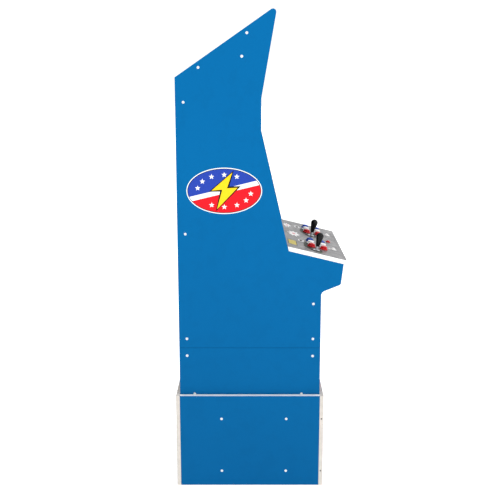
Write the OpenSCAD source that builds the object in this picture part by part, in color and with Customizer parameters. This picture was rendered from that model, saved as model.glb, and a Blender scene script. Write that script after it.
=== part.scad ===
// Two-player stand-up home arcade cabinet on a riser.
// Millimetres. +Z is up and the player stands at -Y. The origin is on the floor, under the middle
// of the object. Profile points are [f, h]: f is the distance forward from the cabinet's back
// edge, and h is the height above the cabinet's own bottom edge.

/* [Cabinet] */
// Width over the cabinet's side panels
cab_w = 483; // [470:1:510]
// Thickness of the side panels
side_t = 16; // [15:0.5:18]
// Depth of the cabinet's base, back edge to front edge
base_d = 437.5; // [430:0.5:445]
// Height of the cabinet's vertical back edge
back_h = 982; // [970:1:1000]
// Height of the seam between the lower and the upper side boards
seam_h = 160; // [150:1:170]
// Radius of the rounded top tip
tip_r = 9.6; // [5:0.1:14]

/* [Riser] */
// Height of the riser
riser_h = 301; // [290:1:330]
// Thickness of the riser's side panels
riser_side_t = 15; // [14:0.5:16]
// Thickness of the riser's front and back panels
riser_face_t = 12; // [9:0.5:14]
// Depth to which the cabinet drops between the riser's sides
socket_d = 8; // [6:0.5:10]

/* [Control deck] */
// Slope of the control deck, in degrees
deck_slope = 13.6; // [12:0.1:15]
// Thickness of the deck board
deck_t = 13; // [12:0.5:14]
// Thickness of the printed and clear cover sheets on the deck
overlay_t = 1.5; // [1:0.5:2]

/* [Controls] */
// Distance between one player's controls and the other's
player_pitch = 241; // [236:1:246]
// Pitch of the buttons along a row
button_pitch = 44; // [40:1:45]
// Travel of the action buttons
button_travel = 3.5; // [2:0.1:4]
// Tilt of a joystick each way, in degrees
stick_tilt = 10; // [6:1:10]

/* [Screen] */
// Slope of the screen from the vertical, in degrees
screen_slope = 15; // [14:0.5:16]
// Width of the visible screen
screen_w = 338; // [300:1:350]
// Height of the visible screen
screen_h = 270; // [240:1:280]

/* [Hidden] */
$fn = 48;

gap = 0.5;                       // clearance between boards that only touch
base_z = riser_h - socket_d;     // height of the cabinet's bottom edge above the floor
side_x = cab_w / 2;              // outer face of the cabinet's side panels
inner_x = side_x - side_t;       // inner face of the cabinet's side panels
riser_x = side_x + 1 + riser_side_t; // outer face of the riser's side panels

blue = [0.055, 0.45, 0.72];
white = [0.93, 0.93, 0.92];
black = [0.05, 0.05, 0.055];
steel = [0.72, 0.73, 0.75];

// ---- the side profile: [f, h] and corner radius --------------------------------------------
deck_front_h = 439.2;            // height of the deck's top front edge
deck_front_f = 513.1;            // the deck's top front edge, forward of the back edge
// Height of the side panels' edge that carries the deck, at the forward distance f
function under_deck(f) = deck_front_h + (deck_front_f - f) * tan(deck_slope)
    - (overlay_t + deck_t) / cos(deck_slope) - 0.1;
deck_seat_front = [504.3, under_deck(504.3)];
box_bottom_front = [496.8, 361.7];
box_bottom_rear = [base_d, 337.7];
screen_edge_top = [252.5, 823];
marquee_edge_bottom = [252.5, 922];
tip_corner = [298.5, 1186.2];
deck_seat_rear = [336.4, under_deck(336.4)];
outline = [
    [[0, 0], 0], [[0, back_h], 0], [tip_corner, tip_r], [marquee_edge_bottom, 20],
    [screen_edge_top, 20], [deck_seat_rear, 0], [deck_seat_front, 0], [box_bottom_front, 8],
    [box_bottom_rear, 15], [[base_d, 0], 0]
];

// ---- small vector helpers ------------------------------------------------------------------
function unit(v) = v / norm(v);
function left_of(v) = [-v[1], v[0]];
// The [f, h] points of a board whose outer face runs from a to b, t thick towards its left
function board(a, b, t) = [a, b, b + left_of(unit(b - a)) * t, a + left_of(unit(b - a)) * t];
// A point on the line through a and b at the forward distance f
function at_f(a, b, f) = [f, a[1] + (b[1] - a[1]) * (f - a[0]) / (b[0] - a[0])];
// A point on the line through a and b at the height h
function at_h(a, b, h) = [a[0] + (b[0] - a[0]) * (h - a[1]) / (b[1] - a[1]), h];
// The line through a and b moved to its left by d
function shifted(a, b, d) = [a + left_of(unit(b - a)) * d, b + left_of(unit(b - a)) * d];
// A closed outline of [point, radius] pairs with each corner rounded by an arc of 8 steps
function rounded(pts) = [for (i = [0:len(pts) - 1])
    let (n = len(pts), p = pts[i][0], r = pts[i][1],
         a = unit(pts[(i + n - 1) % n][0] - p), b = unit(pts[(i + 1) % n][0] - p),
         half = acos(a * b) / 2, centre = p + unit(a + b) * r / max(sin(half), 0.01),
         start = centre - p - a * (r / tan(half)), turn = 180 - 2 * half,
         way = a[0] * b[1] - a[1] * b[0] > 0 ? -1 : 1)
    if (r == 0) p else each [for (k = [0:8])
        let (s = way * turn * k / 8)
        centre - [start[0] * cos(s) - start[1] * sin(s), start[0] * sin(s) + start[1] * cos(s)]]];

// Extrudes a profile drawn in [f, h] from x0 to x1 across the cabinet
module across(x0, x1) {
    translate([x1, y_back, base_z]) rotate([90, 0, -90]) linear_extrude(x1 - x0) children();
}
y_back = (deck_front_f - riser_face_t) / 2; // y of the cabinet's back edge

// ---- screws in the side panels -------------------------------------------------------------
back_f = 24;                     // centre of the back panel
kick_f = 414;                    // centre of the kick panel
bottom_h = 9;                    // centre of the bottom board
cabinet_screws = [               // [f, h]
    [68.8, 1010.1], [210, 1107.5], [195.5, 1041.6], [back_f, 910.7], [back_f, 519],
    [back_f, 189.4], [back_f, 134.8], [kick_f, 301], [kick_f, 189], [kick_f, 133.5],
    [46, bottom_h], [380.8, bottom_h]
];
riser_rows = [49, 224.7];        // heights of the riser's screws above the floor
riser_cross_f = [130, 333];      // forward distances of the riser's cross boards
edge_screw_f = base_d + riser_face_t / 2;
screw_head_r = 4;
screw_r = 1.9;
screw_l = 42;

// One countersunk screw along -X, its head's face at x = 0. grow widens it for the hole it sits in
module screw(grow = 0) {
    rotate([0, -90, 0]) {
        cylinder(h = 3, r1 = screw_head_r + grow, r2 = screw_r + grow, $fn = 24);
        cylinder(h = screw_l + grow, r = screw_r + grow, $fn = 24);
        if (grow > 0) translate([0, 0, -1]) cylinder(h = 1.01, r = screw_head_r + grow, $fn = 24);
    }
}
// The cross recess in a screw's head
module cross_recess() {
    for (a = [0, 90]) rotate([a, 0, 0]) translate([-1.2, -2.2, -0.45]) cube([1.3, 4.4, 0.9]);
}
module cabinet_screw_places() {
    for (s = [-1, 1]) for (p = cabinet_screws)
        translate([s * side_x, y_back - p[0], base_z + p[1]]) rotate([0, 0, s < 0 ? 180 : 0])
            children();
}
module riser_screw_places() {
    for (s = [-1, 1]) for (z = riser_rows) for (f = riser_cross_f)
        translate([s * riser_x, y_back - f, z]) rotate([0, 0, s < 0 ? 180 : 0]) children();
}
module edge_screw_places() {
    for (s = [-1, 1]) for (z = riser_rows)
        translate([s * riser_x, y_back - edge_screw_f, z]) rotate([0, 0, s < 0 ? 180 : 0])
            scale(0.6) children();
}
module panel_screws() {
    color(white) difference() {
        union() {
            cabinet_screw_places() screw();
            riser_screw_places() screw();
            edge_screw_places() screw();
        }
        cabinet_screw_places() cross_recess();
        riser_screw_places() cross_recess();
        edge_screw_places() cross_recess();
    }
}

// ---- side panels ---------------------------------------------------------------------------
module side_outline() { polygon(rounded(outline)); }
module side_panel(side, lower) {
    x0 = side < 0 ? -side_x : inner_x;
    color(blue) difference() {
        across(x0, x0 + side_t) intersection() {
            side_outline();
            if (lower) translate([-1, -1]) square([base_d + 2, seam_h + 0.6]);
            else translate([-1, seam_h + 0.4]) square([deck_front_f, tip_corner[1]]);
        }
        cabinet_screw_places() screw(0.15);
    }
}

// ---- boards between the side panels ----------------------------------------------------------
panel_t = 12;
kick_t = 15;
in_x = inner_x - gap;
slope_dir = unit(tip_corner - [0, back_h]);
// The top panel lies under the sloping top edges, its outer face top_inset below them
top_inset = 9.3;
top_rear = [0, back_h] + slope_dir * 22 - left_of(slope_dir) * top_inset;
top_front = [0, back_h] + slope_dir * 322 - left_of(slope_dir) * top_inset;
// Speaker board: level, over the screen. Its front end reaches the marquee
speaker_h = 1041.6;
speaker_rear_f = 138;
// The marquee lies marquee_inset behind the front edge between the tip and marquee_edge_bottom
marquee_inset = 12;
marquee_t = 3;
marquee_line = shifted(tip_corner, marquee_edge_bottom, -marquee_inset);
marquee_bottom = at_h(marquee_line[0], marquee_line[1], speaker_h + panel_t / 2 + 5);
marquee_top = at_h(marquee_line[0], marquee_line[1], 1135);

module back_panel() {
    slot = [150, 6];             // one vent slot
    top_z = back_h - 6;
    color([0.06, 0.06, 0.065]) difference() {
        across(-in_x, in_x)
            translate([back_f - panel_t / 2, 0]) square([panel_t, top_z]);
        for (s = [-1, 1]) for (i = [0:7])
            translate([s * 95 - slot[0] / 2, y_back - back_f - panel_t, base_z + 840 + i * 14])
                cube([slot[0], 2 * panel_t, slot[1]]);
        for (i = [0:4])
            translate([-slot[0] / 2, y_back - back_f - panel_t, base_z + 60 + i * 14])
                cube([slot[0], 2 * panel_t, slot[1]]);
        translate([inlet_x, y_back - back_f, inlet_z]) rotate([90, 0, 0])
            cylinder(h = 3 * panel_t, r = inlet_r + 0.1, center = true);
        for (s = [-1, 1]) translate([s * tether_pitch / 2, y_back - back_f, tether_z])
            rotate([90, 0, 0]) cylinder(h = 3 * panel_t, r = tether_r, center = true);
        cabinet_screw_places() screw(0.15);
    }
}
module kick_panel() {
    color(blue) difference() {
        across(-in_x, in_x) translate([kick_f - kick_t / 2, 0]) square([kick_t, 331]);
        for (x = [-1, 1]) for (z = [-1, 1])
            translate([x * door_bolt_x, y_back - kick_f, door_z + z * door_bolt_z])
                rotate([90, 0, 0]) cylinder(h = 2 * kick_t, r = 2.1, center = true, $fn = 24);
        cabinet_screw_places() screw(0.15);
    }
}
module bottom_board() {
    color([0.62, 0.5, 0.36]) difference() {
        across(-in_x, in_x) translate([back_f + panel_t / 2 + gap, bottom_h - 7.5])
            square([kick_f - kick_t / 2 - back_f - panel_t / 2 - 2 * gap, 15]);
        cabinet_screw_places() screw(0.15);
    }
}
module top_panel() {
    color(blue) difference() {
        across(-in_x, in_x) polygon(board(top_front, top_rear, panel_t));
        cabinet_screw_places() screw(0.15);
    }
}
hole_rows = [-2:2];
cable_notch_x = -190;
speaker_x = 130;
speaker_f = 196;
module speaker_board() {
    color(black) difference() {
        across(-in_x, in_x) translate([speaker_rear_f, speaker_h - panel_t / 2])
            square([marquee_bottom[0] - speaker_rear_f + 1, panel_t]);
        // hexagonal pattern of sound holes under each speaker
        for (s = [-1, 1]) for (i = hole_rows) for (j = hole_rows)
            if (abs(i + j) <= 2)
                translate([s * speaker_x + 12 * (i + j / 2), y_back - speaker_f + 10.4 * j,
                           base_z + speaker_h])
                    cylinder(h = 2 * panel_t, r = 3.5, center = true, $fn = 24);
        // notch for the speaker cable in the rear edge
        translate([cable_notch_x - 5, y_back - speaker_rear_f - 12, base_z + speaker_h - panel_t])
            cube([10, 20, 2 * panel_t]);
        cabinet_screw_places() screw(0.15);
    }
}

// ---- marquee and sound -----------------------------------------------------------------------
module marquee_panel() {
    color([0.85, 0.85, 0.9]) across(-in_x + 1, in_x - 1)
        polygon(board(marquee_bottom, marquee_top, marquee_t));
}
// Two aluminium channels hold the marquee's long edges
module marquee_retainers() {
    run = unit(marquee_top - marquee_bottom);
    out = -left_of(run);
    color(black) for (e = [[marquee_bottom, run], [marquee_top, -run]])
        across(-in_x + 1, in_x - 1) difference() {
            polygon([for (q = [[-3, 2], [9, 2], [9, -6], [-3, -6]]) e[0] + e[1] * q[0] + out * q[1]]);
            polygon([for (q = [[-0.3, 0.2], [10, 0.2], [10, -marquee_t - 0.2],
                               [-0.3, -marquee_t - 0.2]]) e[0] + e[1] * q[0] + out * q[1]]);
        }
}
module marquee_light_bar() {
    color(white) across(-200, 200) translate([236.5, speaker_h + panel_t / 2 + 0.1]) {
        square([14, 6]);
        translate([3, 5.9]) square([8, 3]);
    }
}
module speakers() {
    color([0.12, 0.12, 0.12]) for (s = [-1, 1])
        translate([s * speaker_x, y_back - speaker_f, base_z + speaker_h + panel_t / 2 + 0.1]) {
            difference() {
                union() {
                    cylinder(h = 4, r = 38);
                    cylinder(h = 20, r1 = 34, r2 = 18);
                    translate([0, 0, 19]) cylinder(h = 8, r = 20);
                }
                translate([0, 0, -1]) cylinder(h = 18, r1 = 32, r2 = 12);
            }
        }
}

// ---- screen ----------------------------------------------------------------------------------
deck_plane_f = 285;              // where the screen's front plane meets the deck's top plane
screen_foot = [deck_plane_f, deck_front_h + (deck_front_f - deck_plane_f) * tan(deck_slope)];
screen_up = [-sin(screen_slope), cos(screen_slope)];
bezel_l = (speaker_h - panel_t / 2 - screen_foot[1]) / cos(screen_slope) - 4;
bezel_t = 6;
cover_t = 2;
screen_mid = 292;                // centre of the screen, along the bezel from its foot

// Places children in the screen's frame: x across, y up the bezel, z out towards the player
module screen_frame() {
    translate([0, y_back - screen_foot[0], base_z + screen_foot[1]])
        rotate([90 - screen_slope, 0, 0]) children();
}
module slab(w, y0, y1, z0, z1) { translate([-w / 2, y0, z0]) cube([w, y1 - y0, z1 - z0]); }
module screen_bezel() {
    color(black) screen_frame() difference() {
        slab(2 * in_x, 2, bezel_l, -cover_t - bezel_t, -cover_t - 0.05);
        slab(screen_w + 2, screen_mid - screen_h / 2 - 1, screen_mid + screen_h / 2 + 1, -20, 1);
    }
}
module screen_cover() {
    color([0.8, 0.85, 0.9, 0.3]) screen_frame() slab(2 * in_x, 2, bezel_l, -cover_t, 0);
}
module monitor() {
    panel_back = -cover_t - bezel_t - 0.1;
    color([0.1, 0.1, 0.11]) screen_frame() {
        slab(screen_w, screen_mid - screen_h / 2, screen_mid + screen_h / 2,
             panel_back - 1, -cover_t - 0.3);
        slab(screen_w + 22, screen_mid - screen_h / 2 - 13, screen_mid + screen_h / 2 + 13,
             panel_back - 18, panel_back);
        slab(180, screen_mid - 60, screen_mid + 70, panel_back - 38, panel_back - 17);
    }
}
// Two folded steel rails carry the monitor between the side panels
module monitor_rails() {
    rail_z = -cover_t - bezel_t - 18.3;
    color(steel) screen_frame() for (s = [-1, 1]) translate([0, screen_mid + s * 105, 0]) {
        slab(2 * in_x, -10, 10, rail_z - 2, rail_z);
        slab(2 * in_x, -10, -8, rail_z - 14, rail_z - 1);
    }
}

// ---- control deck ----------------------------------------------------------------------------
// Places children in the deck's frame: x across, y back from the front edge, z out of the top face
module deck_frame() {
    translate([0, y_back - deck_front_f, base_z + deck_front_h]) rotate([deck_slope, 0, 0])
        children();
}
deck_l = 233;                    // length of the deck from front edge to rear edge
// Room that the deck leaves for the side panels' front edges
module side_edge_room() {
    foot = deck_seat_rear + [0.6, -12];
    for (s = [-1, 1]) across(s < 0 ? -cab_w : inner_x - 0.8, s < 0 ? -inner_x + 0.8 : cab_w)
        polygon([foot, foot + [0, 12], screen_edge_top + [0.6, 0], [100, 823], [100, foot[1]]]);
}
module deck_sheet(z0, z1) {
    difference() {
        deck_frame() slab(cab_w, 0, deck_l, z0, z1);
        side_edge_room();
    }
}
stick_bore_r = 21.6;
washer_r = 20;
module control_deck() {
    color(white) difference() {
        deck_sheet(-overlay_t - deck_t, -overlay_t);
        deck_frame() {
            for (b = big_buttons) button_place(b) cylinder(h = 80, r = barrel_r + 0.15, center = true);
            for (b = small_buttons) button_place(b)
                cylinder(h = 80, r = small_barrel_r + 0.15, center = true);
            for (x = stick_x) translate([x, stick_y, 0])
                cylinder(h = 80, r = stick_bore_r, center = true);
            for (x = slider_x) translate([x, slider_y, 0]) cube([22.4, 9.4, 80], center = true);
        }
    }
}
module deck_overlay() {
    color([0.55, 0.55, 0.55]) difference() {
        deck_sheet(-overlay_t + 0.02, 0);
        deck_frame() {
            for (b = big_buttons) button_place(b) cylinder(h = 80, r = barrel_r + 0.15, center = true);
            for (b = small_buttons) button_place(b)
                cylinder(h = 80, r = small_barrel_r + 0.15, center = true);
            for (x = stick_x) translate([x, stick_y, 0])
                cylinder(h = 80, r = 16.3, center = true);
            for (x = slider_x) translate([x, slider_y, 0]) cube([16, 6, 80], center = true);
        }
    }
}
// The closed box under the deck: a front board and a floor board between the side panels
front_inset = 2;
floor_inset = 6;
front_line = shifted(box_bottom_front, deck_seat_front, front_inset);
floor_line = shifted(box_bottom_rear, box_bottom_front, floor_inset);
module deck_front_panel() {
    low = at_h(front_line[0], front_line[1], box_bottom_front[1] + 6);
    high = at_h(front_line[0], front_line[1], deck_seat_front[1] - 1.5);
    color(blue) across(-in_x, in_x) intersection() {
        polygon(board(low, high, panel_t));
        polygon([[400, 300], [520, 300], at_f(deck_seat_rear, deck_seat_front, 520) - [0, 0.8],
                 at_f(deck_seat_rear, deck_seat_front, 400) - [0, 0.8]]);
    }
}
module deck_floor_panel() {
    rear = at_f(floor_line[0], floor_line[1], kick_f - kick_t / 2);
    front = at_f(floor_line[0], floor_line[1], box_bottom_front[0] - front_inset - panel_t - 5);
    color(blue) across(-in_x, in_x) polygon(board(rear, front, panel_t));
}

// ---- buttons ---------------------------------------------------------------------------------
left_x = -player_pitch / 2;
row_back = 105;                  // the two rows of buttons, back from the deck's front edge
row_front = 66;
button_1 = -35.5;                // first button of a player, from the middle of that player's half
big_buttons = [for (p = [0, 1]) for (r = [row_back, row_front]) for (c = [0:2])
    [left_x + p * player_pitch + button_1 + c * button_pitch, r, c]];
small_buttons = [[-118, 31, 1], [123, 31, 1], [-6, 38, 0]];
rim_r = 13;
rim_h = 4;
barrel_r = 11.8;
plunger_r = 10.2;
plunger_top = 11.5;
plunger_dome = 2.6;              // height of the convex top
small_rim_r = 7.6;
small_rim_h = 2.5;
small_barrel_r = 6.6;
small_plunger_r = 5.2;
small_plunger_top = 5.5;
small_plunger_dome = 0.9;
small_travel = 2;
cap_colours = [[0.85, 0.1, 0.12], white, [0.1, 0.25, 0.7]];

module button_place(b) { translate([b[0], b[1], 0]) children(); }
// A flanged barrel: rim on the deck, barrel through it, and a nut under the deck board
module button_rim(r_rim, h_rim, r_barrel, r_bore, nut, low) {
    nut_z = -overlay_t - deck_t - 5.1;
    difference() {
        union() {
            cylinder(h = h_rim - 1, r = r_rim);
            translate([0, 0, h_rim - 1]) cylinder(h = 1, r1 = r_rim, r2 = r_rim - 1.2);
            translate([0, 0, low]) cylinder(h = 1 - low, r = r_barrel);
            translate([0, 0, nut_z]) cylinder(h = 5, r = r_barrel + nut);
        }
        translate([0, 0, low - 1]) cylinder(h = h_rim - low + 2, r = r_bore);
    }
}
module button_rims(colour) {
    color(cap_colours[colour]) deck_frame() {
        for (b = big_buttons) if (b[2] == colour)
            button_place(b) button_rim(rim_r, rim_h, barrel_r, plunger_r + 0.1, 2.6,
                                       stem_end - button_travel - 0.35);
        for (b = small_buttons) if (b[2] == colour)
            button_place(b) button_rim(small_rim_r, small_rim_h, small_barrel_r,
                                       small_plunger_r + 0.1, 1.6, stem_end - small_travel - 0.35);
    }
}
// A plunger with a convex top and a stem that reaches the switch
stem_end = -30;
module plunger(b, r, top, dome) {
    ball = (r * r + dome * dome) / (2 * dome);
    color(cap_colours[b[2]]) deck_frame() button_place(b) {
        intersection() {
            translate([0, 0, -14]) cylinder(h = top + 15, r = r);
            translate([0, 0, top - ball]) sphere(r = ball, $fn = 96);
        }
        translate([0, 0, stem_end]) cylinder(h = 17, r = 3);
    }
}
module big_plunger(i) { plunger(big_buttons[i], plunger_r, plunger_top, plunger_dome); }
module small_plunger(i) {
    plunger(small_buttons[i], small_plunger_r, small_plunger_top, small_plunger_dome);
}

// ---- joysticks -------------------------------------------------------------------------------
stick_x = [left_x - 79.5, left_x + player_pitch - 79.5];
stick_y = 92;
pivot_z = -20;                   // height of the joystick's pivot, below the deck's top face
dome_r = 24;
dome_low = 16.4;                 // height of the dome's rim over the pivot
shaft_r = 4.5;
pin_r = 2;
shaft_low = -34;                 // heights in the joystick's own frame, from the pivot
actuator_r = 6;
actuator_l = 14.5;
// half the side of the gate's square hole, which stops the actuator at full tilt
gate_half = 46.5 * sin(stick_tilt) + actuator_r * cos(stick_tilt) + 0.12;
bat_low = 30;
bat_l = 46.2;

module stick_frame(i) { deck_frame() translate([stick_x[i], stick_y, pivot_z]) children(); }
module both_ways(r0, r1, radius, fn = 32) {
    for (s = [0, 180]) rotate([0, 90, s]) translate([0, 0, r0]) cylinder(h = r1 - r0, r = radius, $fn = fn);
}
module joystick_housings() {
    top = -overlay_t - deck_t - pivot_z - 0.05; // underside of the deck board, from the pivot
    cheek = [[19, 4.5], [-19 - 4.5, 4.5]];
    color([0.1, 0.1, 0.11]) for (i = [0, 1]) stick_frame(i) {
        // washer on top of the deck, round the dome
        translate([0, 0, -pivot_z + 0.05]) difference() {
            cylinder(h = 1.6, r1 = washer_r, r2 = washer_r - 0.8);
            translate([0, 0, -1]) cylinder(h = 4, r = 14);
        }
        // frame under the deck: top plate, two cheeks with the ring's bores, base plate
        difference() {
            union() {
                translate([-24.5, -32, top - 3]) cube([49, 64, 3]);
                for (c = cheek) translate([c[0], -16, -24]) cube([c[1], 32, top + 21.1]);
                translate([-24, -24, -26]) cube([48, 48, 3]);
            }
            translate([0, 0, -30]) cylinder(h = 10, r = 14.5);
            rotate([0, 90, 0]) cylinder(h = 60, r = pin_r + 0.05, center = true, $fn = 32);
            translate([0, 0, -20]) cylinder(h = top + 24, r = 18.6);
        }
        // gate: a plate on four posts, with a square hole that stops the actuator
        difference() {
            translate([-24, -24, -46]) cube([48, 48, 3]);
            translate([0, 0, -45]) cube(2 * [gate_half, gate_half, 5], center = true);
        }
        for (x = [-21.5, 21.5]) for (y = [-21.5, 21.5])
            translate([x - 2.5, y - 2.5, -43.1]) cube([5, 5, 17.2]);
    }
}
// The cradle that tilts forward and back; the shaft tilts left and right inside it
module joystick_ring(i) {
    color(steel) stick_frame(i) difference() {
        union() {
            translate([0, 0, -3.5]) cylinder(h = 7, r = 14.5);
            both_ways(13.5, 23.3, pin_r);
        }
        translate([0, 0, -5]) cylinder(h = 10, r = 9.5);
        rotate([90, 0, 0]) cylinder(h = 60, r = pin_r + 0.05, center = true, $fn = 32);
    }
}
module joystick_shaft(i) {
    color(steel) stick_frame(i) {
        translate([0, 0, shaft_low]) cylinder(h = bat_low - shaft_low + 14, r = shaft_r);
        translate([0, 0, -46.5]) cylinder(h = actuator_l, r = actuator_r);
        rotate([0, 0, 90]) both_ways(0, 14, pin_r);
        // dust dome: a spherical cap round the pivot
        intersection() {
            difference() { sphere(r = dome_r, $fn = 96); sphere(r = dome_r - 1.6, $fn = 96); }
            translate([0, 0, dome_low]) cylinder(h = 10, r = dome_r);
        }
    }
}
// The bat-shaped grip: a small ball at the foot, a long taper and a round head
bat_foot_r = 5.8;
bat_head_r = 11.4;
module joystick_bat(i) {
    head_z = bat_l - bat_head_r;
    lean = asin((bat_head_r - bat_foot_r) / (head_z - bat_foot_r));
    color(black) stick_frame(i) translate([0, 0, bat_low]) difference() {
        rotate_extrude($fn = 64) intersection() {
            union() {
                translate([0, bat_foot_r]) circle(r = bat_foot_r);
                translate([0, head_z]) circle(r = bat_head_r);
                polygon([[0, bat_foot_r], [bat_foot_r * cos(lean), bat_foot_r - bat_foot_r * sin(lean)],
                         [bat_head_r * cos(lean), head_z - bat_head_r * sin(lean)], [0, head_z]]);
            }
            square([bat_head_r + 1, bat_l + 1]);
        }
        translate([0, 0, -1]) cylinder(h = 15.1, r = shaft_r + 0.1);
    }
}

// ---- switches under the controls -------------------------------------------------------------
module microswitch() {
    translate([-10, -3.2, -10]) cube([20, 6.4, 10]);
    for (x = [-7, 0, 7]) translate([x - 0.4, -1.6, -14]) cube([0.8, 3.2, 4.1]);
}
module microswitches() {
    color([0.16, 0.16, 0.17]) {
        deck_frame() {
            for (b = big_buttons) button_place(b)
                translate([0, 0, stem_end - button_travel - 0.4]) microswitch();
            for (b = small_buttons) button_place(b)
                translate([0, 0, stem_end - small_travel - 0.4]) microswitch();
        }
        for (i = [0, 1]) stick_frame(i) for (a = [0:90:270]) rotate([0, 0, a])
            translate([gate_half + 0.1, -8, -42.95]) cube([6.4, 16, 9.9]);
    }
}
slider_x = [-92, 149];
slider_y = 135;
slider_travel = 4;
module slide_switch_bodies() {
    color(black) deck_frame() for (x = slider_x) translate([x, slider_y, 0]) difference() {
        union() {
            translate([-11, -4.5, -12]) cube([22, 9, 10.4]);
            // raised frame that shows through the printed sheet
            translate([-7.9, -2.9, -1.7]) cube([15.8, 5.8, 2.4]);
        }
        translate([-6.5, -1.9, -8]) cube([13, 3.8, 12]);
    }
}
// The knob of a slide switch, at the left end of its slot
module slider(i) {
    color([0.85, 0.85, 0.85]) deck_frame() translate([slider_x[i], slider_y, 0]) {
        translate([-6.2, -1.7, -7.8]) cube([12.4 - slider_travel, 3.4, 4]);
        translate([-4.6, -1.7, -4]) cube([5.2, 3.4, 7]);
    }
}

// ---- electronics -----------------------------------------------------------------------------
inlet_x = 150;
inlet_z = base_z + 110;
inlet_r = 6;
tether_z = base_z + 800;
tether_pitch = 40;
tether_r = 2.2;
module dc_inlet() {
    color(black) translate([inlet_x, y_back - back_f + panel_t / 2, inlet_z]) rotate([-90, 0, 0])
        difference() {
            union() {
                translate([0, 0, 0.05]) cylinder(h = 2.5, r = 9);
                translate([0, 0, -26]) cylinder(h = 27, r = inlet_r);
                translate([0, 0, -panel_t - 4.1]) cylinder(h = 4, r = 8.5, $fn = 6);
            }
            translate([0, 0, -9.5]) difference() {
                cylinder(h = 20, r = 2.85);
                translate([0, 0, -1]) cylinder(h = 9.5, r = 1.05, $fn = 24);
            }
        }
}
case_x = -120;
module main_board_case() {
    color([0.15, 0.15, 0.16]) translate([case_x - 75, y_back - back_f - panel_t / 2 - 30.1, base_z + 250])
        difference() {
            cube([150, 30, 100]);
            // a row of connector sockets along the upper edge
            for (i = [0:4]) translate([14 + i * 27, 8, 92]) cube([14, 10, 10]);
        }
}
// A loose run of cable through hand-placed points, as straight lengths with round joints
module cable(points, r) {
    for (i = [0:len(points) - 2]) {
        d = points[i + 1] - points[i];
        translate(points[i])
            rotate([0, acos(d[2] / norm(d)), atan2(d[1], d[0])]) cylinder(h = norm(d), r = r, $fn = 16);
        if (i > 0) translate(points[i]) sphere(r = 1.2 * r, $fn = 16);
    }
}
// [x, f, h] from the cabinet's centre line, back edge and bottom edge
function inside(p) = [p[0], y_back - p[1], base_z + p[2]];
control_cable = [[-174, 47, 343.5], [-174, 47, 375], [-150, 90, 392], [-120, 200, 390],
                 [-60, 300, 385], [-10, 350, 400], [0, 380, 435]];
display_cable = [[-147, 47, 343.5], [-147, 47, 380], [-110, 52, 450], [-60, 60, 560], [-30, 90, 650],
                 [-10, 140, 700], [-10, 168, 720]];
speaker_cable = [[-120, 47, 343.5], [-120, 47, 390], [-190, 50, 480], [-205, 48, 800], [-205, 60, 930],
                 [-190, 110, 1000], [-190, 128, 1026], [-190, 145, 1050], [-190, 165, 1058],
                 [-151, 192, 1062]];
power_cable = [[-93, 47, 343.5], [-93, 47, 370], [-20, 55, 372], [60, 60, 250], [120, 60, 130],
               [150, 52, 110], [150, 44.5, 110]];
module wiring_harness() {
    color([0.1, 0.1, 0.1]) {
        cable([for (p = control_cable) inside(p)], 3);
        cable([for (p = display_cable) inside(p)], 2.5);
        cable([for (p = speaker_cable) inside(p)], 1.6);
        cable([for (p = power_cable) inside(p)], 2);
        // plug of the control cable, under the deck
        deck_frame() translate([-12, 124, -overlay_t - deck_t - 8.1]) cube([24, 10, 8]);
    }
}

// ---- moulded coin door on the kick panel -------------------------------------------------------
door_w = 150;
door_h = 170;
door_z = base_z + 190;
door_bolt_x = 66;
door_bolt_z = 76;
module coin_door() {
    face = y_back - kick_f - kick_t / 2 - 0.05;
    color(black) translate([0, face, door_z]) rotate([90, 0, 0]) difference() {
        union() {
            translate([-door_w / 2, -door_h / 2, 0]) cube([door_w, door_h, 4]);
            translate([-door_w / 2 + 14, -door_h / 2 + 14, 3.9]) cube([door_w - 28, door_h - 28, 3]);
            // two coin entry plates
            for (s = [-1, 1]) translate([s * 28 - 15, 2, 6.8]) cube([30, 46, 4]);
            for (x = [-1, 1]) for (z = [-1, 1]) translate([x * door_bolt_x, z * door_bolt_z, -13])
                cylinder(h = 14, r = 2, $fn = 24);
        }
        for (s = [-1, 1]) {
            translate([s * 28 - 1.3, 16, 4]) cube([2.6, 26, 10]);
            // coin return cup
            translate([s * 28 - 13, -50, 3]) cube([26, 34, 10]);
        }
        translate([0, -33, 2]) cylinder(h = 10, r = 5, $fn = 32);
    }
}

// ---- riser -----------------------------------------------------------------------------------
module riser_side(side) {
    x0 = side < 0 ? -riser_x : riser_x - riser_side_t;
    color(blue) difference() {
        translate([x0, y_back - base_d, 0]) cube([riser_side_t, base_d, riser_h]);
        riser_screw_places() screw(0.15);
    }
}
module riser_face(y0) {
    color(white) difference() {
        translate([-riser_x, y0, 0]) cube([2 * riser_x, riser_face_t, riser_h]);
        edge_screw_places() screw(0.15);
    }
}
module riser_cross_boards() {
    color([0.62, 0.5, 0.36]) difference() {
        for (f = riser_cross_f)
            translate([-riser_x + riser_side_t + gap, y_back - f - 7.5, 18])
                cube([2 * (riser_x - riser_side_t - gap), 15, base_z - 18 - 0.05]);
        riser_screw_places() screw(0.15);
    }
}

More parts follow.
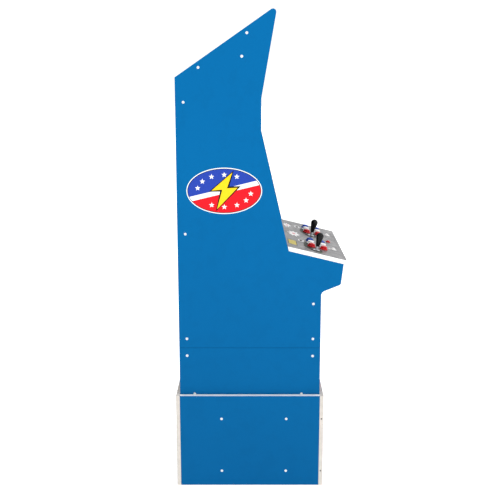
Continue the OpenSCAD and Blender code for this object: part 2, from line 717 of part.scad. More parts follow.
// ---- one line per node -------------------------------------------------------------------------
side_panel(-1, false);  // left_side_upper
side_panel(-1, true);  // left_side_lower
side_panel(1, false);  // right_side_upper
side_panel(1, true);  // right_side_lower
back_panel();
kick_panel();
bottom_board();
top_panel();
speaker_board();
marquee_panel();
marquee_retainers();
marquee_light_bar();
speakers();
screen_bezel();
screen_cover();
monitor();
monitor_rails();
control_deck();
deck_overlay();
deck_front_panel();
deck_floor_panel();
main_board_case();
dc_inlet();
wiring_harness();
coin_door();
riser_side(-1);  // riser_left_panel
riser_side(1);  // riser_right_panel
riser_face(y_back - base_d - riser_face_t);  // riser_front_panel
riser_face(y_back);  // riser_back_panel
riser_cross_boards();
panel_screws();
joystick_housings();
microswitches();
slide_switch_bodies();
button_rims(0);  // button_rims_red
button_rims(1);  // button_rims_white
button_rims(2);  // button_rims_blue
slider(0);  // power_slider
slider(1);  // volume_slider
joystick_ring(0);  // joystick_1_ring
joystick_shaft(0);  // joystick_1_shaft
joystick_bat(0);  // joystick_1_bat
joystick_ring(1);  // joystick_2_ring
joystick_shaft(1);  // joystick_2_shaft
joystick_bat(1);  // joystick_2_bat
big_plunger(0);  // p1_red_back
big_plunger(1);  // p1_white_back
big_plunger(2);  // p1_blue_back
big_plunger(3);  // p1_red_front
big_plunger(4);  // p1_white_front
big_plunger(5);  // p1_blue_front
big_plunger(6);  // p2_red_back
big_plunger(7);  // p2_white_back
big_plunger(8);  // p2_blue_back
big_plunger(9);  // p2_red_front
big_plunger(10);  // p2_white_front
big_plunger(11);  // p2_blue_front
small_plunger(0);  // p1_start
small_plunger(1);  // p2_start
small_plunger(2);  // centre_button
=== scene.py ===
import math
import random

import bmesh
import bpy
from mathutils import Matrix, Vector
from mathutils.geometry import tessellate_polygon


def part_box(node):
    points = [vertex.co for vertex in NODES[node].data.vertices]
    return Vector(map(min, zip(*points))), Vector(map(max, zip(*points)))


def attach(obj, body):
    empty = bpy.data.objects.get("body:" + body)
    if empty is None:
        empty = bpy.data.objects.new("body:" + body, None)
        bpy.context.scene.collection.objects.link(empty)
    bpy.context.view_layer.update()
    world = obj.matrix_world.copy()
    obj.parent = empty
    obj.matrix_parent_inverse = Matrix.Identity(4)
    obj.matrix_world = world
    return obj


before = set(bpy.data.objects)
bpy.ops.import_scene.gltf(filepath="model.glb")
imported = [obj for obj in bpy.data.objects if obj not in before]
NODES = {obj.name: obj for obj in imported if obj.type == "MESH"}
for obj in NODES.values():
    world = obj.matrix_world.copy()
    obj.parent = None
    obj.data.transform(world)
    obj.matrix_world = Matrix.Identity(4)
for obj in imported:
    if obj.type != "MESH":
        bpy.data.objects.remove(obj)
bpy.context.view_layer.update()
scene = bpy.context.scene
scene.view_settings.view_transform = "Standard"

# ---- camera --------------------------------------------------------------------------------
SIDE_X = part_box("left_side_upper")[0].x      # outer face of the left side panel
BACK_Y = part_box("left_side_upper")[1].y      # the cabinet's back edge
CAMERA_OUT, CAMERA_FORWARD, CAMERA_Z = 2.5537, 0.2193, 1.2933     # metres from that face and edge, and up
CAMERA_PITCH = 12.127                        # degrees below the horizontal
cam = bpy.data.objects.new("camera", bpy.data.cameras.new("camera"))
scene.collection.objects.link(cam)
scene.camera = cam
cam.location = (SIDE_X - CAMERA_OUT, BACK_Y - CAMERA_FORWARD, CAMERA_Z)
cam.rotation_euler = (math.radians(90 - CAMERA_PITCH), 0, math.radians(-90))
cam.data.lens = 62.03
cam.data.shift_y = 0.012
cam.data.clip_end = 60


# ---- material helpers ----------------------------------------------------------------------
def srgb(r, g, b):
    """Linear colour from 0-255 values."""
    return tuple(((c / 255 + 0.055) / 1.055) ** 2.4 if c > 10 else c / 255 / 12.92
                 for c in (r, g, b)) + (1.0,)


class Mat:
    """A node material: node() adds a node, and numbers, colours or sockets fill its inputs."""

    def __init__(self, name, **settings):
        self.m = bpy.data.materials.new(name)
        self.m.use_nodes = True
        self.t = self.m.node_tree
        self.b = self.t.nodes["Principled BSDF"]
        self.set(self.b, settings)
        self.coords = self.t.nodes.new("ShaderNodeTexCoord").outputs["Object"]

    def set(self, node, inputs):
        for key, value in inputs.items():
            key = int(key[1:]) if key[0] == "_" else key.replace("_", " ")
            socket = node.inputs[key]
            if isinstance(value, bpy.types.NodeSocket):
                self.t.links.new(value, socket)
            else:
                socket.default_value = value

    def node(self, kind, attrs=None, **inputs):
        n = self.t.nodes.new("ShaderNode" + kind)
        for key, value in (attrs or {}).items():
            setattr(n, key, value)
        self.set(n, inputs)
        return n

    def noise(self, scale, detail=4.0, rough=0.55, vector=None):
        return self.node("TexNoise", Vector=vector or self.coords, Scale=scale, Detail=detail,
                         Roughness=rough).outputs["Fac"]

    def ramp(self, fac, *stops):
        n = self.node("ValToRGB", Fac=fac)
        e = n.color_ramp.elements
        while len(e) < len(stops):
            e.new(0.5)
        for k, (pos, colour) in enumerate(stops):
            e[k].position = pos
            e[k].color = colour if len(colour) == 4 else tuple(colour) + (1.0,)
        return n.outputs["Color"]

    def mix(self, fac, a, b, blend="MIX"):
        n = self.node("Mix", {"data_type": "RGBA", "blend_type": blend})
        self.set(n, {"_0": fac, "_6": a, "_7": b})
        return n.outputs[2]

    def maths(self, op, a, b=0.0):
        return self.node("Math", {"operation": op}, _0=a, _1=b).outputs[0]

    def spread(self, fac, low, high):
        n = self.node("MapRange", Value=fac)
        self.set(n, {"To_Min": low, "To_Max": high})
        return n.outputs[0]

    def bump(self, height, strength, distance):
        n = self.node("Bump", Height=height, Strength=strength, Distance=distance)
        self.set(self.b, {"Normal": n.outputs[0]})
        return self

    def colour(self, socket):
        self.set(self.b, {"Base_Color": socket})
        return self


def grey(v):
    return (v, v, v, 1.0)


def vinyl(name, top, bottom, rough=0.5):
    """Matt vinyl: a slow change of colour with height, painted as shade on the lower part, fine peel and
    faint handling marks.
    """
    m = Mat(name, IOR=1.45, Specular_IOR_Level=0.05)
    z = m.node("SeparateXYZ", Vector=m.coords).outputs[2]
    # painted shade: the bottom colour is a darker copy of the top one, standing in for the shade on the
    # lower part of the panel
    painted_shade = m.ramp(m.spread(z, 0.0, 0.7), (0.08, bottom), (0.95, top))
    cloud = m.ramp(m.noise(3.0, 2.0), (0.3, grey(0.97)), (0.7, grey(1.0)))
    marks = m.ramp(m.noise(26.0, 8.0, 0.75), (0.42, grey(0.965)), (0.5, grey(1.0)))
    m.colour(m.mix(1.0, m.mix(1.0, painted_shade, cloud, "MULTIPLY"), marks, "MULTIPLY"))
    m.set(m.b, {"Roughness": m.spread(m.noise(40.0, 6.0, 0.6), rough - 0.06, rough + 0.08)})
    return m.bump(m.noise(900.0, 3.0), 0.10, 0.0004).m


def front_print(name, base, dark, light, accent, slant=0.55, rough=0.4):
    """Printed panel art: broad slanting stripes over a field that darkens downwards."""
    m = Mat(name, IOR=1.45, Specular_IOR_Level=0.2)
    xyz = m.node("SeparateXYZ", Vector=m.coords).outputs
    field = m.ramp(m.spread(xyz[2], 0.0, 1.0), (0.1, dark), (0.7, base))
    across = m.maths("ADD", xyz[0], m.maths("MULTIPLY", xyz[2], slant))
    wave = m.maths("FRACT", m.maths("MULTIPLY", m.maths("ADD", across, 2.0), 3.1))
    off, on = grey(0), grey(1)
    wide = m.ramp(wave, (0.0, off), (0.30, off), (0.31, on), (0.44, on), (0.45, off))
    thin = m.ramp(wave, (0.0, off), (0.50, off), (0.505, on), (0.535, on), (0.54, off))
    art = m.mix(thin, m.mix(wide, field, accent), light)
    worn = m.ramp(m.noise(45.0, 7.0, 0.7), (0.4, grey(0.95)), (0.52, grey(1.0)))
    m.colour(m.mix(1.0, art, worn, "MULTIPLY"))
    m.set(m.b, {"Roughness": m.spread(m.noise(40.0, 6.0), rough - 0.05, rough + 0.08)})
    return m.bump(m.noise(900.0, 3.0), 0.08, 0.0003).m


def sunburst(name, centre, inner, outer, ray):
    """Marquee print: rays fanning out from a point under the middle."""
    m = Mat(name, IOR=1.49, Coat_Weight=0.4, Coat_Roughness=0.05, Roughness=0.25)
    xyz = m.node("SeparateXYZ", Vector=m.coords).outputs
    high = m.maths("SUBTRACT", xyz[2], centre)
    turn = m.maths("ARCTAN2", xyz[0], high)
    far = m.maths("SQRT", m.maths("ADD", m.maths("MULTIPLY", xyz[0], xyz[0]),
                                  m.maths("MULTIPLY", high, high)))
    field = m.ramp(m.spread(far, 0.0, 3.0), (0.12, inner), (0.75, outer))
    rays = m.ramp(m.maths("FRACT", m.maths("MULTIPLY", m.maths("ADD", turn, 3.2), 4.2)),
                  (0.0, grey(0)), (0.46, grey(0)), (0.5, grey(1)), (0.96, grey(1)), (1.0, grey(0)))
    m.colour(m.mix(m.maths("MULTIPLY", rays, 0.75), field, ray))
    return m.bump(m.noise(600.0, 2.0), 0.03, 0.0002).m


def plastic(name, colour, rough=0.18, grain=0.0, coat=0.0, level=0.35):
    """Moulded plastic: slight mottling, fine wear in the gloss and, where asked, a grained skin."""
    m = Mat(name, IOR=1.49, Coat_Weight=coat, Coat_Roughness=0.08, Specular_IOR_Level=level)
    dark = tuple(c * 0.86 for c in colour[:3]) + (1.0,)
    m.colour(m.ramp(m.noise(55.0, 5.0), (0.25, dark), (0.65, colour)))
    m.set(m.b, {"Roughness": m.spread(m.noise(220.0, 6.0, 0.7), rough - 0.04, rough + 0.10)})
    return m.bump(m.noise(1800.0 if grain else 500.0, 2.0), 0.04 + grain, 0.0003).m


def ink(name, colour, rough=0.45):
    """A layer of printing ink: slightly uneven cover and a faint dot texture."""
    m = Mat(name, IOR=1.45, Specular_IOR_Level=0.15)
    thin = tuple(c * 0.93 for c in colour[:3]) + (1.0,)
    m.colour(m.ramp(m.noise(140.0, 5.0, 0.6), (0.35, thin), (0.6, colour)))
    m.set(m.b, {"Roughness": m.spread(m.noise(300.0, 4.0), rough - 0.05, rough + 0.06)})
    return m.bump(m.noise(1500.0, 2.0), 0.05, 0.0002).m


def fibreboard(name):
    """Cut fibreboard: fine pale and dark flecks."""
    m = Mat(name, Roughness=0.85, IOR=1.4)
    fleck = m.noise(900.0, 8.0, 0.8)
    m.colour(m.ramp(fleck, (0.3, srgb(118, 88, 58)), (0.5, srgb(166, 132, 94)),
                    (0.75, srgb(196, 166, 128))))
    return m.bump(fleck, 0.4, 0.0006).m


def metal(name, colour, rough=0.3, stretch=(1.0, 1.0, 30.0)):
    """Plated or brushed metal with fine parallel lines."""
    m = Mat(name, Metallic=1.0)
    line = m.noise(160.0, 4.0, 0.6, m.node("Mapping", Vector=m.coords, Scale=stretch).outputs[0])
    dark = tuple(c * 0.8 for c in colour[:3]) + (1.0,)
    m.colour(m.ramp(line, (0.3, dark), (0.7, colour)))
    m.set(m.b, {"Roughness": m.spread(line, rough - 0.08, rough + 0.12)})
    return m.bump(line, 0.06, 0.0002).m


def deck_print():
    """Grey stone-like print with dark cracks and light scuffs, under a clear sheet."""
    m = Mat("deck_print", Roughness=0.38, IOR=1.45, Specular_IOR_Level=0.2, Coat_Weight=0.15,
            Coat_Roughness=0.12)
    warp = m.node("Mapping", Vector=m.coords, Scale=(1.0, 1.25, 1.0)).outputs[0]
    ground = m.ramp(m.noise(24.0, 8.0, 0.68, warp), (0.28, srgb(78, 78, 82)), (0.5, srgb(112, 111, 113)),
                    (0.7, srgb(146, 145, 146)))
    crack = m.node("TexVoronoi", {"feature": "DISTANCE_TO_EDGE"}, Vector=warp, Scale=30.0,
                   Randomness=1.0).outputs["Distance"]
    patchy = m.ramp(m.noise(14.0, 3.0), (0.42, grey(0.0)), (0.6, grey(0.85)))
    lines = m.ramp(crack, (0.0, grey(0.4)), (0.045, grey(1.0)))
    m.colour(m.mix(patchy, ground, m.mix(1.0, ground, lines, "MULTIPLY")))
    return m.bump(m.noise(700.0, 2.0), 0.03, 0.0002).m


def clear_sheet():
    """Clear acrylic, almost invisible, with a soft and slightly uneven highlight."""
    m = Mat("clear_acrylic", IOR=1.49, Alpha=0.03, Specular_IOR_Level=0.5)
    m.colour(m.ramp(m.noise(6.0, 3.0), (0.3, (0.05, 0.055, 0.06)), (0.7, (0.09, 0.1, 0.11))))
    m.set(m.b, {"Roughness": m.spread(m.noise(6.0, 2.0), 0.22, 0.28)})
    return m.m


def screen_glass():
    """The switched-off picture tube face: near-black glass with a faint cast."""
    m = Mat("screen_face", IOR=1.5, Specular_IOR_Level=0.3)
    m.colour(m.ramp(m.noise(2.5, 2.0), (0.3, srgb(5, 6, 9)), (0.7, srgb(9, 10, 14))))
    m.set(m.b, {"Roughness": m.spread(m.noise(12.0, 2.0), 0.16, 0.22)})
    return m.m


def bezel_print(name, half_w, half_h, mid_z, tilt):
    """Black bezel with a printed border round the screen opening and faint slanting bars."""
    m = Mat(name, IOR=1.45, Specular_IOR_Level=0.2)
    xyz = m.node("SeparateXYZ", Vector=m.coords).outputs
    up = m.maths("DIVIDE", m.maths("SUBTRACT", xyz[2], mid_z), math.cos(tilt))
    far = m.maths("MAXIMUM", m.maths("SUBTRACT", m.maths("ABSOLUTE", xyz[0]), half_w),
                  m.maths("SUBTRACT", m.maths("ABSOLUTE", up), half_h))
    black, navy, white, red = srgb(8, 8, 10), srgb(10, 34, 84), srgb(226, 228, 232), srgb(190, 22, 32)
    line = m.ramp(m.maths("MULTIPLY", far, 10.0), (0.0, black), (0.06, black), (0.065, white),
                  (0.085, white), (0.09, black), (0.12, black), (0.125, red), (0.185, red),
                  (0.19, black), (1.0, black))
    slant = m.maths("FRACT", m.maths("MULTIPLY", m.maths("ADD", m.maths("ADD", xyz[0], up), 2.0), 14.0))
    bars = m.ramp(slant, (0.0, black), (0.5, black), (0.52, navy), (0.98, navy), (1.0, black))
    outside = m.ramp(m.maths("MULTIPLY", far, 10.0), (0.0, grey(0)), (0.235, grey(0)), (0.24, grey(1)))
    m.colour(m.mix(outside, line, bars))
    m.set(m.b, {"Roughness": m.spread(m.noise(12.0, 2.0), 0.5, 0.58)})
    return m.m


# the second colour is a darker copy of the first, painted shade for the lower part of the panels
BLUE = vinyl("blue_vinyl", srgb(1, 104, 164), srgb(1, 90, 144))
WHITE_EDGE = plastic("white_edge_band", srgb(244, 244, 243), 0.4)
CREAM_EDGE = plastic("cream_edge_band", srgb(206, 200, 192), 0.45)
DARK_SCREW = metal("dark_screw", srgb(92, 90, 88), 0.45)
MDF = fibreboard("fibreboard")
# here too the second colour is painted shade for the lower part of the panel
BLACK_BOARD = vinyl("black_laminate", srgb(22, 22, 24), srgb(18, 18, 20), 0.55)
BLACK = plastic("black_moulded", srgb(20, 20, 22), 0.42, 0.25)
GLOSS_BLACK = plastic("gloss_black", srgb(5, 5, 6), 0.3, 0.0, 0.0, 0.22)
RED = plastic("gloss_red", srgb(206, 20, 30), 0.3, 0.0, 0.1, 0.25)
WHITE = plastic("gloss_white", srgb(248, 248, 247), 0.26, 0.0, 0.2)
BUTTON_BLUE = plastic("gloss_blue", srgb(18, 66, 168), 0.3, 0.0, 0.1, 0.25)
GREY_PLASTIC = plastic("light_grey_plastic", srgb(190, 190, 190), 0.45, 0.1)
DIFFUSER = plastic("white_diffuser", srgb(244, 244, 240), 0.5)
SWITCH_GREY = plastic("switch_grey", srgb(60, 60, 64), 0.5, 0.1)
SCREW = plastic("screw_paint", srgb(232, 234, 236), 0.4)
STEEL = metal("zinc_plate", srgb(196, 198, 202))
TIN = metal("tin_case", srgb(150, 152, 156), 0.45, (30.0, 1.0, 1.0))
RUBBER = plastic("cable_rubber", srgb(24, 24, 24), 0.6, 0.2)
FRONT_ART = front_print("front_print", srgb(8, 96, 166), srgb(6, 52, 110), srgb(244, 244, 244),
                        srgb(206, 20, 30))
MARQUEE_ART = sunburst("marquee_print", 1.27, srgb(255, 214, 40), srgb(206, 30, 30), srgb(246, 120, 24))
YELLOW = ink("ink_yellow", srgb(250, 210, 30))
PALE_YELLOW = ink("ink_pale_yellow", srgb(206, 188, 92))
PALE_RED = ink("ink_pale_red", srgb(224, 150, 156))
PRINT_RED = ink("ink_red", srgb(222, 20, 34))
PRINT_BLUE = ink("ink_blue", srgb(38, 66, 168))
PRINT_BLACK = ink("ink_black", srgb(10, 10, 12))
PRINT_WHITE = ink("ink_white", srgb(246, 246, 246))
# a dark olive and a dark green, used only for the dark patches between the deck's controls
DARK_OLIVE_PATCH = ink("dark_olive_patch", srgb(34, 42, 32))
DARK_GREEN_PATCH = ink("dark_green_patch", srgb(78, 96, 66))
DECK_PRINT = deck_print()
CLEAR = clear_sheet()
TILT = math.radians(15)                      # the screen's slope from the vertical
low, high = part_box("screen_bezel")
# the opening's middle is 292 mm up the bezel's face, which starts 2 mm above the bezel's foot
BEZEL_PRINT = bezel_print("bezel_print", 0.169, 0.135, low.z + 0.290 * math.cos(TILT) + 0.0018, TILT)
SCREEN_FACE = screen_glass()

# ---- materials on the CAD nodes --------------------------------------------------------------
FINISH = {
    BLUE: ["left_side_upper", "left_side_lower", "right_side_upper", "right_side_lower",
           "riser_left_panel", "riser_right_panel", "top_panel", "deck_floor_panel"],
    FRONT_ART: ["kick_panel", "deck_front_panel", "riser_front_panel"],
    BLACK_BOARD: ["back_panel", "speaker_board", "riser_back_panel"],
    MDF: ["bottom_board", "riser_cross_boards"],
    WHITE_EDGE: ["control_deck"],
    DECK_PRINT: ["deck_overlay"],
    BLACK: ["screen_bezel", "monitor", "speakers", "dc_inlet", "coin_door",
            "slide_switch_bodies", "joystick_housings", "marquee_retainers"],
    TIN: ["main_board_case"],
    STEEL: ["monitor_rails", "joystick_1_ring", "joystick_1_shaft", "joystick_2_ring", "joystick_2_shaft"],
    SCREW: ["panel_screws"],
    SWITCH_GREY: ["microswitches"],
    RUBBER: ["wiring_harness"],
    GLOSS_BLACK: ["joystick_1_bat", "joystick_2_bat"],
    RED: ["button_rims_red", "p1_red_back", "p1_red_front", "p2_red_back", "p2_red_front", "centre_button"],
    WHITE: ["button_rims_white", "p1_white_back", "p1_white_front", "p2_white_back", "p2_white_front",
            "p1_start", "p2_start"],
    BUTTON_BLUE: ["button_rims_blue", "p1_blue_back", "p1_blue_front", "p2_blue_back", "p2_blue_front"],
    GREY_PLASTIC: ["power_slider", "volume_slider"],
    DIFFUSER: ["marquee_light_bar"],
    MARQUEE_ART: ["marquee_panel"],
    CLEAR: ["screen_cover"],
}
for material, names in FINISH.items():
    for name in names:
        o = NODES[name]
        o.data.materials.clear()
        o.data.materials.append(material)


def face_finish(name, material, wanted, by="normal"):
    """Gives the faces of a CAD node whose normal, or centre, is wanted another material."""
    mesh = NODES[name].data
    mesh.materials.append(material)
    for p in mesh.polygons:
        if wanted(getattr(p, by)):
            p.material_index = len(mesh.materials) - 1


for name in ("riser_left_panel", "riser_right_panel"):
    face_finish(name, WHITE_EDGE, lambda n: n.z > 0.9)
    face_finish(name, MDF, lambda n: n.z < -0.9)
for name in ("riser_front_panel", "riser_back_panel"):
    face_finish(name, CREAM_EDGE, lambda n: abs(n.x) > 0.9 or n.z > 0.9)
    face_finish(name, MDF, lambda n: n.z < -0.9)
# the small screws in the riser's front edge are darker than the others
face_finish("panel_screws", DARK_SCREW,
            lambda c: abs(c.x) > 0.2 and abs(c.y + 0.193) < 0.004 and c.z < 0.26, "center")
# the picture face of the monitor looks at the player, and its case is sheet metal behind
face_finish("monitor", TIN, lambda n: n.y > 0.5 or abs(n.x) > 0.9)
face_finish("monitor", SCREEN_FACE, lambda n: n.y < -0.5)
face_finish("screen_bezel", BEZEL_PRINT, lambda n: n.y < -0.5)

# a small rounding on the cut edges, so that they catch the light
for name, width in (("control_deck", 0.8), ("riser_left_panel", 0.7), ("riser_right_panel", 0.7),
                    ("riser_front_panel", 0.7), ("riser_back_panel", 0.7), ("coin_door", 0.6),
                    ("left_side_upper", 0.7), ("right_side_upper", 0.7), ("left_side_lower", 0.7),
                    ("right_side_lower", 0.7), ("marquee_retainers", 0.3), ("kick_panel", 0.5),
                    ("deck_front_panel", 0.5), ("top_panel", 0.5)):
    o = NODES[name]
    weld = o.modifiers.new("weld", "WELD")
    weld.merge_threshold = 0.00001
    bevel = o.modifiers.new("bevel", "BEVEL")
    bevel.width, bevel.segments, bevel.limit_method = width / 1000, 2, "ANGLE"
    bevel.angle_limit = math.radians(50)


# ---- printed graphics: thin layers of ink over the panels -------------------------------------
INK_FOOT = 0.02                              # underside of every layer of ink over its panel, in mm


class Print:
    """Layers of ink in one mesh. put(a, b, n) gives the place of a point a to the right and b up."""

    def __init__(self, name, put, slot):
        self.name, self.put, self.slot, self.bm, self.mats = name, put, slot, bmesh.new(), []

    def layer(self, points, material, height):
        """A thin prism with that outline, in mm; height is its top over the panel, in mm."""
        if material not in self.mats:
            self.mats.append(material)
        low = [self.bm.verts.new(self.put(a, b, INK_FOOT)) for a, b in points]
        top = [self.bm.verts.new(self.put(a, b, height)) for a, b in points]
        faces = []
        for tri in tessellate_polygon([[Vector((a, b, 0.0)) for a, b in points]]):
            faces.append(self.bm.faces.new([top[k] for k in tri]))
            faces.append(self.bm.faces.new([low[k] for k in reversed(tri)]))
        for k in range(len(points)):
            j = (k + 1) % len(points)
            faces.append(self.bm.faces.new((low[k], low[j], top[j], top[k])))
        for f in faces:
            f.material_index = self.mats.index(material)

    def done(self, cutter=None):
        """Makes the piece; a cutter object is taken out of the ink and then removed."""
        bmesh.ops.recalc_face_normals(self.bm, faces=self.bm.faces)
        mesh = bpy.data.meshes.new(self.name)
        self.bm.to_mesh(mesh)
        for m in self.mats:
            mesh.materials.append(m)
        o = bpy.data.objects.new(self.name, mesh)
        scene.collection.objects.link(o)
        if cutter:
            cut = o.modifiers.new("bores", "BOOLEAN")
            cut.operation, cut.solver, cut.object = "DIFFERENCE", "EXACT", cutter
            o.data = bpy.data.meshes.new_from_object(o.evaluated_get(bpy.context.evaluated_depsgraph_get()))
            o.modifiers.clear()
            bpy.data.objects.remove(cutter)
        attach(o, "cabinet")
        return o


def ring_points(rx, ry, start=0.0, end=360.0, centre=(0.0, 0.0), steps=96):
    """Points on an ellipse from one angle to the other, in degrees."""
    full = abs(end - start) >= 360.0
    count = max(8, int(steps * abs(end - start) / 360.0))
    return [(centre[0] + rx * math.cos(math.radians(start + (end - start) * k / count)),
             centre[1] + ry * math.sin(math.radians(start + (end - start) * k / count)))
            for k in range(count if full else count + 1)]


def star_points(centre, radius, tips=5, inner=0.42, turn=90.0):
    return [(centre[0] + r * math.cos(math.radians(turn + 180.0 * k / tips)),
             centre[1] + r * math.sin(math.radians(turn + 180.0 * k / tips)))
            for k, r in enumerate([radius, radius * inner] * tips)]


def grown(points, d):
    """An outline moved outwards by d, with mitred corners."""
    area = sum(p[0] * q[1] - q[0] * p[1] for p, q in zip(points, points[1:] + points[:1]))
    side = 1.0 if area > 0 else -1.0
    out = []
    for k, p in enumerate(points):
        a, b = Vector(points[k - 1]), Vector(points[(k + 1) % len(points)])
        e, f = (Vector(p) - a).normalized(), (b - Vector(p)).normalized()
        n1, n2 = Vector((e.y, -e.x)) * side, Vector((f.y, -f.x)) * side
        mid = (n1 + n2) / max(0.35, 1.0 + n1.dot(n2))
        out.append((p[0] + mid.x * d, p[1] + mid.y * d))
    return out


BOLT = [(24, 55), (-38, 1), (-6, 4), (-22, -55), (40, 10), (8, 8)]

# Emblem on each side panel: an oval split on the slant, with a lightning bolt and stars
EMBLEM_Y, EMBLEM_Z, EMBLEM_RX, EMBLEM_RY = 0.108, 0.943, 113.0, 69.5
for side, name in ((-1, "left_emblem"), (1, "right_emblem")):
    face = abs(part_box("left_side_upper")[0].x)
    e = Print(name, lambda a, b, n, s=side: (s * (face + n / 1000), EMBLEM_Y + s * a / 1000,
                                             EMBLEM_Z + b / 1000), "printed_panels")
    e.layer(ring_points(EMBLEM_RX, EMBLEM_RY), PRINT_WHITE, 0.10)
    e.layer(ring_points(EMBLEM_RX - 2.6, EMBLEM_RY - 2.6), PRINT_BLACK, 0.13)
    e.layer(ring_points(EMBLEM_RX - 4.4, EMBLEM_RY - 4.4), PRINT_WHITE, 0.16)
    rx, ry = EMBLEM_RX - 4.4, EMBLEM_RY - 4.4
    e.layer(ring_points(rx, ry, 28, 196), PRINT_BLUE, 0.19)
    e.layer(ring_points(rx, ry, 208, 376), PRINT_RED, 0.19)
    for k, t in enumerate((62, 90, 118, 144, 170)):
        spot = (0.74 * rx * math.cos(math.radians(t)), 0.74 * ry * math.sin(math.radians(t)))
        for q in (1, -1):
            e.layer(star_points((q * spot[0], q * spot[1]), 8.5), PRINT_WHITE, 0.22)
    e.layer(grown(BOLT, 5.0), PRINT_BLACK, 0.25)
    e.layer(BOLT, YELLOW, 0.28)
    e.done()

# Bolt and stars on the marquee; its face leans with the front edge of the side panels
low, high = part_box("marquee_panel")
lean = math.atan2(high.y - low.y - 0.00305, high.z - low.z)      # less the sheet's thickness
across = Vector((0.0, -math.sin(lean), math.cos(lean)))
out = Vector((0.0, -math.cos(lean), -math.sin(lean)))
middle = Vector((0.0, low.y + (high.y - low.y - 0.003) / 2, (low.z + high.z) / 2))
m_art = Print("marquee_graphics", lambda a, b, n: middle + Vector((a / 1000, 0, 0)) + across * (b / 1000)
              + out * (n / 1000), "marquee")
m_art.layer(ring_points(62, 29), PRINT_BLACK, 0.10)
m_art.layer(ring_points(59, 26), PRINT_BLUE, 0.13)
small_bolt = [(a * 0.44, b * 0.44) for a, b in BOLT]
m_art.layer(grown(small_bolt, 2.4), PRINT_BLACK, 0.16)
m_art.layer(small_bolt, YELLOW, 0.19)
for q in (-1, 1):
    for k, r in ((34, 7.0), (92, 12.0), (128, 9.5), (160, 7.5)):
        m_art.layer(star_points((q * k, 0), r + 1.6), PRINT_BLACK, 0.16)
        m_art.layer(star_points((q * k, 0), r), PRINT_WHITE, 0.19)
m_art.done()

# Graphics on the control deck, in mm: across from the middle, and back from the deck's front edge
SLOPE = math.radians(13.6)
DECK_Y, DECK_Z = -0.26255, 0.7322            # the deck's front edge, in metres
SLIDERS = ((-92, 135), (149, 135))
START_RINGS = ((-118, 33), (123, 33))        # just behind the start buttons' middles


def on_deck(a, b, n):
    v, up = b / 1000, n / 1000
    return (a / 1000, DECK_Y + v * math.cos(SLOPE) - up * math.sin(SLOPE),
            DECK_Z + v * math.sin(SLOPE) + up * math.cos(SLOPE))


def burst_points(centre, rx, ry, tips, seed, low=0.62):
    rng = random.Random(seed)
    pts = []
    for k in range(2 * tips):
        r = (1.0 if k % 2 == 0 else low) * rng.uniform(0.86, 1.08)
        t = 2 * math.pi * k / (2 * tips)
        pts.append((centre[0] + rx * r * math.cos(t), centre[1] + ry * r * math.sin(t)))
    return pts


g = Print("deck_graphics", on_deck, "deck_print")
for centre, rx, ry, seed in (((2, 154), 48, 23, 3), ((138, 171), 38, 16, 5)):
    g.layer(burst_points(centre, rx, ry, 9, seed), PRINT_WHITE, 0.10)
    g.layer(burst_points(centre, rx * 0.34, ry * 0.34, 7, seed + 1), PALE_RED, 0.14)
g.layer([(-196, 152), (-124, 152), (-118, 180), (-190, 180)], PRINT_BLACK, 0.08)
g.layer([(-194, 154), (-126, 154), (-120.5, 178), (-188.5, 178)], PALE_YELLOW, 0.12)
# Rings round the slide switches and the small white buttons, in two halves and open in the middle
for centres, outer, inner in ((SLIDERS, (18, 9.5), (13, 6.6)), (START_RINGS, (11.5, 13.5), (8.8, 10.2))):
    for centre in centres:
        for a in (0, 180):
            g.layer(ring_points(*outer, a, a + 180, centre)
                    + ring_points(*inner, a, a + 180, centre)[::-1], PRINT_WHITE, 0.10)
g.done()
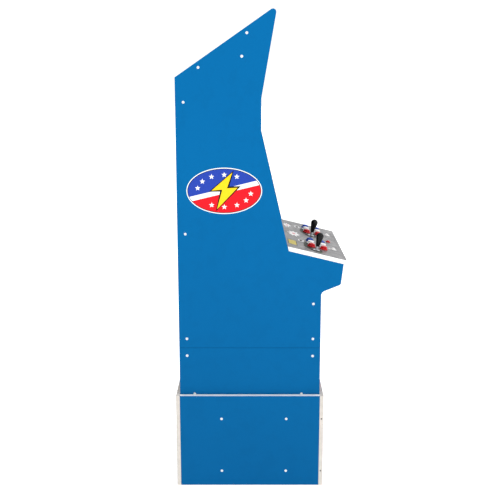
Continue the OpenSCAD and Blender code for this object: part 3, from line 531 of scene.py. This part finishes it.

# Dark olive and green patches between the controls, cut away round each button's rim and stick's washer
patches = Print("deck_patches", on_deck, "deck_print")
for centre, rx, ry, patch_colour, seed in (
        ((-152, 117), 58, 15, DARK_OLIVE_PATCH, 11), ((-214, 82), 20, 8, DARK_GREEN_PATCH, 12),
        ((-168, 87), 22, 7, DARK_OLIVE_PATCH, 13), ((92, 117), 50, 13, DARK_OLIVE_PATCH, 14),
        ((-86, 60), 22, 9, DARK_GREEN_PATCH, 15), ((70, 84), 20, 8, DARK_OLIVE_PATCH, 16)):
    patches.layer(burst_points(centre, rx, ry, 13, seed, 0.82), patch_colour, 0.05)
RIM_R, WASHER_R = 13.1, 20.1                 # a little over the rims' and the washers' own
BUTTON_COLUMNS, BUTTON_ROWS = (-156, -112, -68, 85, 129, 173), (66, 105)
STICKS = ((-200, 92), (41, 92))
bores = [((u, v), RIM_R) for u in BUTTON_COLUMNS for v in BUTTON_ROWS]
bores += [(centre, WASHER_R) for centre in STICKS]
bm = bmesh.new()
for centre, r in bores:
    rim = ring_points(r, r, centre=centre, steps=48)
    low, top = ([bm.verts.new(on_deck(a, b, n)) for a, b in rim] for n in (-2.0, 2.0))
    bm.faces.new(low[::-1])
    bm.faces.new(top)
    for k in range(len(rim)):
        bm.faces.new((low[k - 1], low[k], top[k], top[k - 1]))
cutter_mesh = bpy.data.meshes.new("bores")
bm.to_mesh(cutter_mesh)
cutter = bpy.data.objects.new("bores", cutter_mesh)
scene.collection.objects.link(cutter)
patches.done(cutter)

# ---- floor and light -------------------------------------------------------------------------
floor_mesh = bpy.data.meshes.new("floor")
bm = bmesh.new()
bmesh.ops.create_grid(bm, x_segments=2, y_segments=2, size=30)
bm.to_mesh(floor_mesh)
floor = bpy.data.objects.new("floor", floor_mesh)
scene.collection.objects.link(floor)
floor_mat = Mat("pale_floor", Roughness=0.9)
floor_mat.colour(floor_mat.ramp(floor_mat.noise(0.8), (0.3, grey(0.93)), (0.7, grey(0.95))))
floor_mat.set(floor_mat.b, {"Emission_Color": grey(1.0), "Emission_Strength": 0.5})
floor_mesh.materials.append(floor_mat.m)
floor.location.z = -0.0005

world = bpy.data.worlds.new("studio")
scene.world = world
world.use_nodes = True
world.node_tree.nodes["Background"].inputs["Color"].default_value = (1.0, 1.0, 1.0, 1.0)
world.node_tree.nodes["Background"].inputs["Strength"].default_value = 1.12


def area_light(name, location, target, size, power):
    light = bpy.data.lights.new(name, "AREA")
    light.energy, light.size = power, size
    o = bpy.data.objects.new(name, light)
    o.location = location
    o.rotation_euler = (Vector(target) - Vector(location)).to_track_quat("-Z", "Y").to_euler()
    scene.collection.objects.link(o)


area_light("key", (-2.2, -2.4, 3.4), (0, 0, 0.8), 1.6, 30)
